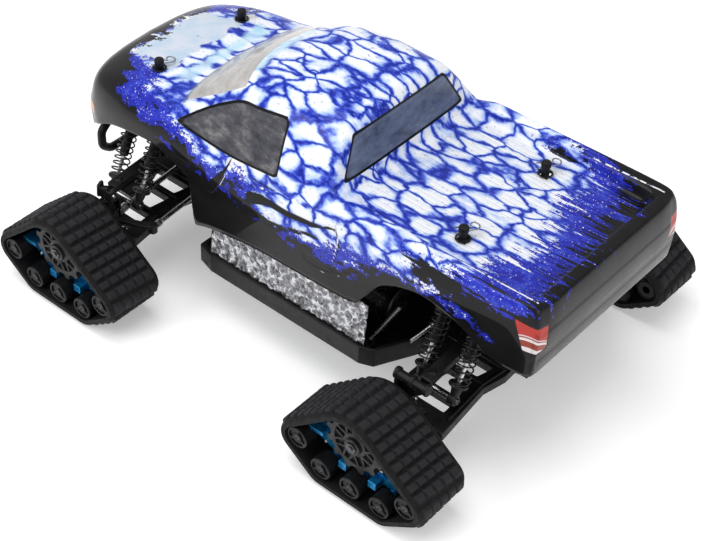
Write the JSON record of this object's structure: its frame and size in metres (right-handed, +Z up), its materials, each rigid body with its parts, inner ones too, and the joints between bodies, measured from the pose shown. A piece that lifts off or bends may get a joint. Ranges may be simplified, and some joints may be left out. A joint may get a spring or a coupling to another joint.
{
  "type": "radio-controlled monster truck on snow tracks",
  "caption": "Small radio-controlled pickup truck with a painted shell and long-travel suspension, standing on triangular rubber track units.",
  "frame": {"origin": "on the ground, at the centre of the truck's bounding box", "axes": "+X points forward, +Y to the truck's left, +Z up"},
  "size_m": [0.4224, 0.3226, 0.1985],
  "materials": {
    "shell_paint": "glossy airbrushed polycarbonate",
    "black_plastic": "satin glass-filled nylon",
    "black_rubber": "matt moulded rubber",
    "blue_anodised": "blue anodised, satin",
    "silver_metal": "bright turned steel",
    "silver_film": "crinkled reflective film",
    "battery_wrap": "shrink wrap",
    "dark_metal": "dark hardened steel"
  },
  "bodies": {
    "chassis": {"chassis_tub": "black_plastic", "front_bumper": "black_plastic", "front_shock_tower": "black_plastic", "rear_shock_tower": "black_plastic", "front_gearbox": "black_plastic", "rear_gearbox": "black_plastic", "motor": "silver_metal", "battery_pack": "battery_wrap", "speed_control": "black_plastic", "steering_servo": "black_plastic", "left_liner": "silver_film", "right_liner": "silver_film"},
    "shell": {"body_shell": "shell_paint"},
    "centre_shaft": {"centre_shaft": "silver_metal"},
    "steering_plate": {"steering_plate": "black_plastic"},
    "front_left_lower_arm": {"front_left_lower_arm": "black_plastic"},
    "front_left_upper_arm": {"front_left_upper_arm": "black_plastic"},
    "front_left_hub": {"front_left_caster_block": "black_plastic"},
    "front_left_knuckle": {"front_left_knuckle": "black_plastic"},
    "front_left_half_shaft": {"front_left_half_shaft": "silver_metal"},
    "front_left_shock_bodies": {"front_left_shock_bodies": "black_plastic"},
    "front_left_shock_rods": {"front_left_shock_rods": "dark_metal"},
    "front_left_track": {"front_left_track_belt": "black_rubber", "front_left_track_frame": "blue_anodised", "front_left_track_rollers": "black_plastic"},
    "front_left_sprocket": {"front_left_sprocket": "black_plastic"},
    "front_right_lower_arm": {"front_right_lower_arm": "black_plastic"},
    "front_right_upper_arm": {"front_right_upper_arm": "black_plastic"},
    "front_right_hub": {"front_right_caster_block": "black_plastic"},
    "front_right_knuckle": {"front_right_knuckle": "black_plastic"},
    "front_right_half_shaft": {"front_right_half_shaft": "silver_metal"},
    "front_right_shock_bodies": {"front_right_shock_bodies": "black_plastic"},
    "front_right_shock_rods": {"front_right_shock_rods": "dark_metal"},
    "front_right_track": {"front_right_track_belt": "black_rubber", "front_right_track_frame": "blue_anodised", "front_right_track_rollers": "black_plastic"},
    "front_right_sprocket": {"front_right_sprocket": "black_plastic"},
    "rear_left_lower_arm": {"rear_left_lower_arm": "black_plastic"},
    "rear_left_upper_arm": {"rear_left_upper_arm": "black_plastic"},
    "rear_left_hub": {"rear_left_hub_carrier": "black_plastic"},
    "rear_left_half_shaft": {"rear_left_half_shaft": "silver_metal"},
    "rear_left_shock_bodies": {"rear_left_shock_bodies": "black_plastic"},
    "rear_left_shock_rods": {"rear_left_shock_rods": "dark_metal"},
    "rear_left_track": {"rear_left_track_belt": "black_rubber", "rear_left_track_frame": "blue_anodised", "rear_left_track_rollers": "black_plastic"},
    "rear_left_sprocket": {"rear_left_sprocket": "black_plastic"},
    "rear_right_lower_arm": {"rear_right_lower_arm": "black_plastic"},
    "rear_right_upper_arm": {"rear_right_upper_arm": "black_plastic"},
    "rear_right_hub": {"rear_right_hub_carrier": "black_plastic"},
    "rear_right_half_shaft": {"rear_right_half_shaft": "silver_metal"},
    "rear_right_shock_bodies": {"rear_right_shock_bodies": "black_plastic"},
    "rear_right_shock_rods": {"rear_right_shock_rods": "dark_metal"},
    "rear_right_track": {"rear_right_track_belt": "black_rubber", "rear_right_track_frame": "blue_anodised", "rear_right_track_rollers": "black_plastic"},
    "rear_right_sprocket": {"rear_right_sprocket": "black_plastic"},
    "tie_rod_left": {"tie_rod_left": "silver_metal"},
    "tie_rod_right": {"tie_rod_right": "silver_metal"}
  },
  "joints": [
    {"name": "shell_lift", "type": "slide", "parent": "chassis", "child": "shell", "axis": [0, 0, 1], "range_m": [0, 0.1]},
    {"name": "centre_shaft_spin", "type": "hinge", "parent": "chassis", "child": "centre_shaft", "pos_m": [-0.1058, 0, 0.0465], "axis": [1, 0, 0], "continuous": true},
    {"name": "front_left_suspension", "type": "hinge", "parent": "chassis", "child": "front_left_lower_arm", "pos_m": [0.1456, 0.026, 0.047], "axis": [1, 0, 0], "range_deg": [-8, 14], "stiffness_Nm_per_rad": 1.6, "springref_deg": -8.15},
    {"name": "front_left_upper_arm_pivot", "type": "hinge", "parent": "chassis", "child": "front_left_upper_arm", "pos_m": [0.1456, 0.026, 0.0815], "axis": [1, 0, 0], "range_deg": [-8, 14]},
    {"name": "front_left_hub_pivot", "type": "hinge", "parent": "front_left_lower_arm", "child": "front_left_hub", "pos_m": [0.1456, 0.1, 0.04], "axis": [1, 0, 0], "range_deg": [-14, 8]},
    {"name": "front_left_half_shaft_swing", "type": "hinge", "parent": "chassis", "child": "front_left_half_shaft", "pos_m": [0.1456, 0.0225, 0.056], "axis": [1, 0, 0], "range_deg": [-9, 15]},
    {"name": "front_left_shock_swing", "type": "hinge", "parent": "chassis", "child": "front_left_shock_bodies", "pos_m": [0.1456, 0.058, 0.118], "axis": [1, 0, 0], "range_deg": [-1.9, 3.3]},
    {"name": "front_left_shock_travel", "type": "slide", "parent": "front_left_shock_bodies", "child": "front_left_shock_rods", "axis": [0, -0.4258, 0.9048], "range_m": [-0.009, 0.015]},
    {"name": "steering", "type": "hinge", "parent": "front_left_hub", "child": "front_left_knuckle", "pos_m": [0.1456, 0.103, 0.0485], "axis": [0, 0, 1], "range_deg": [-20, 20]},
    {"name": "front_left_track_rock", "type": "hinge", "parent": "front_left_knuckle", "child": "front_left_track", "pos_m": [0.1456, 0.103, 0.0485], "axis": [0, 1, 0], "range_deg": [-12, 12]},
    {"name": "front_left_sprocket_spin", "type": "hinge", "parent": "front_left_knuckle", "child": "front_left_sprocket", "pos_m": [0.1456, 0.103, 0.0485], "axis": [0, 1, 0], "continuous": true},
    {"name": "front_right_suspension", "type": "hinge", "parent": "chassis", "child": "front_right_lower_arm", "pos_m": [0.1456, -0.026, 0.047], "axis": [-1, 0, 0], "range_deg": [-8, 14], "stiffness_Nm_per_rad": 1.6, "springref_deg": -8.15},
    {"name": "front_right_upper_arm_pivot", "type": "hinge", "parent": "chassis", "child": "front_right_upper_arm", "pos_m": [0.1456, -0.026, 0.0815], "axis": [-1, 0, 0], "range_deg": [-8, 14]},
    {"name": "front_right_hub_pivot", "type": "hinge", "parent": "front_right_lower_arm", "child": "front_right_hub", "pos_m": [0.1456, -0.1, 0.04], "axis": [-1, 0, 0], "range_deg": [-14, 8]},
    {"name": "front_right_half_shaft_swing", "type": "hinge", "parent": "chassis", "child": "front_right_half_shaft", "pos_m": [0.1456, -0.0225, 0.056], "axis": [-1, 0, 0], "range_deg": [-9, 15]},
    {"name": "front_right_shock_swing", "type": "hinge", "parent": "chassis", "child": "front_right_shock_bodies", "pos_m": [0.1456, -0.058, 0.118], "axis": [-1, 0, 0], "range_deg": [-1.9, 3.3]},
    {"name": "front_right_shock_travel", "type": "slide", "parent": "front_right_shock_bodies", "child": "front_right_shock_rods", "axis": [0, 0.4258, 0.9048], "range_m": [-0.009, 0.015]},
    {"name": "front_right_steering", "type": "hinge", "parent": "front_right_hub", "child": "front_right_knuckle", "pos_m": [0.1456, -0.103, 0.0485], "axis": [0, 0, 1], "range_deg": [-21, 21]},
    {"name": "front_right_track_rock", "type": "hinge", "parent": "front_right_knuckle", "child": "front_right_track", "pos_m": [0.1456, -0.103, 0.0485], "axis": [0, 1, 0], "range_deg": [-12, 12]},
    {"name": "front_right_sprocket_spin", "type": "hinge", "parent": "front_right_knuckle", "child": "front_right_sprocket", "pos_m": [0.1456, -0.103, 0.0485], "axis": [0, 1, 0], "continuous": true},
    {"name": "rear_left_suspension", "type": "hinge", "parent": "chassis", "child": "rear_left_lower_arm", "pos_m": [-0.1378, 0.026, 0.047], "axis": [1, 0, 0], "range_deg": [-8, 14], "stiffness_Nm_per_rad": 1.6, "springref_deg": -10.75},
    {"name": "rear_left_upper_arm_pivot", "type": "hinge", "parent": "chassis", "child": "rear_left_upper_arm", "pos_m": [-0.1438, 0.026, 0.0815], "axis": [1, 0, 0], "range_deg": [-8, 14]},
    {"name": "rear_left_hub_pivot", "type": "hinge", "parent": "rear_left_lower_arm", "child": "rear_left_hub", "pos_m": [-0.1308, 0.1, 0.04], "axis": [1, 0, 0], "range_deg": [-14, 8]},
    {"name": "rear_left_half_shaft_swing", "type": "hinge", "parent": "chassis", "child": "rear_left_half_shaft", "pos_m": [-0.1308, 0.0225, 0.056], "axis": [1, 0, 0], "range_deg": [-9, 15]},
    {"name": "rear_left_shock_swing", "type": "hinge", "parent": "chassis", "child": "rear_left_shock_bodies", "pos_m": [-0.1308, 0.058, 0.118], "axis": [1, 0, 0], "range_deg": [-1.9, 3.3]},
    {"name": "rear_left_shock_travel", "type": "slide", "parent": "rear_left_shock_bodies", "child": "rear_left_shock_rods", "axis": [0, -0.4258, 0.9048], "range_m": [-0.009, 0.015]},
    {"name": "rear_left_track_rock", "type": "hinge", "parent": "rear_left_hub", "child": "rear_left_track", "pos_m": [-0.1308, 0.103, 0.0485], "axis": [0, 1, 0], "range_deg": [-12, 12]},
    {"name": "rear_left_sprocket_spin", "type": "hinge", "parent": "rear_left_hub", "child": "rear_left_sprocket", "pos_m": [-0.1308, 0.103, 0.0485], "axis": [0, 1, 0], "continuous": true},
    {"name": "rear_right_suspension", "type": "hinge", "parent": "chassis", "child": "rear_right_lower_arm", "pos_m": [-0.1378, -0.026, 0.047], "axis": [-1, 0, 0], "range_deg": [-8, 14], "stiffness_Nm_per_rad": 1.6, "springref_deg": -10.75},
    {"name": "rear_right_upper_arm_pivot", "type": "hinge", "parent": "chassis", "child": "rear_right_upper_arm", "pos_m": [-0.1438, -0.026, 0.0815], "axis": [-1, 0, 0], "range_deg": [-8, 14]},
    {"name": "rear_right_hub_pivot", "type": "hinge", "parent": "rear_right_lower_arm", "child": "rear_right_hub", "pos_m": [-0.1308, -0.1, 0.04], "axis": [-1, 0, 0], "range_deg": [-14, 8]},
    {"name": "rear_right_half_shaft_swing", "type": "hinge", "parent": "chassis", "child": "rear_right_half_shaft", "pos_m": [-0.1308, -0.0225, 0.056], "axis": [-1, 0, 0], "range_deg": [-9, 15]},
    {"name": "rear_right_shock_swing", "type": "hinge", "parent": "chassis", "child": "rear_right_shock_bodies", "pos_m": [-0.1308, -0.058, 0.118], "axis": [-1, 0, 0], "range_deg": [-1.9, 3.3]},
    {"name": "rear_right_shock_travel", "type": "slide", "parent": "rear_right_shock_bodies", "child": "rear_right_shock_rods", "axis": [0, 0.4258, 0.9048], "range_m": [-0.009, 0.015]},
    {"name": "rear_right_track_rock", "type": "hinge", "parent": "rear_right_hub", "child": "rear_right_track", "pos_m": [-0.1308, -0.103, 0.0485], "axis": [0, 1, 0], "range_deg": [-12, 12]},
    {"name": "rear_right_sprocket_spin", "type": "hinge", "parent": "rear_right_hub", "child": "rear_right_sprocket", "pos_m": [-0.1308, -0.103, 0.0485], "axis": [0, 1, 0], "continuous": true},
    {"name": "steering_plate_slide", "type": "slide", "parent": "chassis", "child": "steering_plate", "axis": [0, 1, 0], "range_m": [-0.012, 0.012]},
    {"name": "tie_rod_left_pivot", "type": "hinge", "parent": "steering_plate", "child": "tie_rod_left", "pos_m": [0.1146, 0.022, 0.0555], "axis": [1, 0, 0], "range_deg": [-9, 16]},
    {"name": "tie_rod_right_pivot", "type": "hinge", "parent": "steering_plate", "child": "tie_rod_right", "pos_m": [0.1146, -0.022, 0.0555], "axis": [-1, 0, 0], "range_deg": [-9, 16]}
  ],
  "couplings": [
    {"joint": "front_left_upper_arm_pivot", "follows": "front_left_suspension", "ratio": 1},
    {"joint": "front_left_hub_pivot", "follows": "front_left_suspension", "ratio": -1},
    {"joint": "front_left_half_shaft_swing", "follows": "front_left_suspension", "ratio": 1.0496},
    {"joint": "front_left_shock_swing", "follows": "front_left_suspension", "ratio": 0.23027},
    {"joint": "front_left_shock_travel", "follows": "front_left_suspension", "m_per_rad": 0.05919},
    {"joint": "front_right_upper_arm_pivot", "follows": "front_right_suspension", "ratio": 1},
    {"joint": "front_right_hub_pivot", "follows": "front_right_suspension", "ratio": -1},
    {"joint": "front_right_half_shaft_swing", "follows": "front_right_suspension", "ratio": 1.0496},
    {"joint": "front_right_shock_swing", "follows": "front_right_suspension", "ratio": 0.23027},
    {"joint": "front_right_shock_travel", "follows": "front_right_suspension", "m_per_rad": 0.05919},
    {"joint": "rear_left_upper_arm_pivot", "follows": "rear_left_suspension", "ratio": 1},
    {"joint": "rear_left_hub_pivot", "follows": "rear_left_suspension", "ratio": -1},
    {"joint": "rear_left_half_shaft_swing", "follows": "rear_left_suspension", "ratio": 1.0496},
    {"joint": "rear_left_shock_swing", "follows": "rear_left_suspension", "ratio": 0.23027},
    {"joint": "rear_left_shock_travel", "follows": "rear_left_suspension", "m_per_rad": 0.05919},
    {"joint": "rear_right_upper_arm_pivot", "follows": "rear_right_suspension", "ratio": 1},
    {"joint": "rear_right_hub_pivot", "follows": "rear_right_suspension", "ratio": -1},
    {"joint": "rear_right_half_shaft_swing", "follows": "rear_right_suspension", "ratio": 1.0496},
    {"joint": "rear_right_shock_swing", "follows": "rear_right_suspension", "ratio": 0.23027},
    {"joint": "rear_right_shock_travel", "follows": "rear_right_suspension", "m_per_rad": 0.05919},
    {"joint": "front_right_steering", "follows": "steering", "ratio": 1},
    {"joint": "steering_plate_slide", "follows": "steering", "m_per_rad": -0.031},
    {"joint": "tie_rod_left_pivot", "follows": "front_left_suspension", "ratio": 1.0725},
    {"joint": "tie_rod_right_pivot", "follows": "front_right_suspension", "ratio": 1.0725}
  ]
}
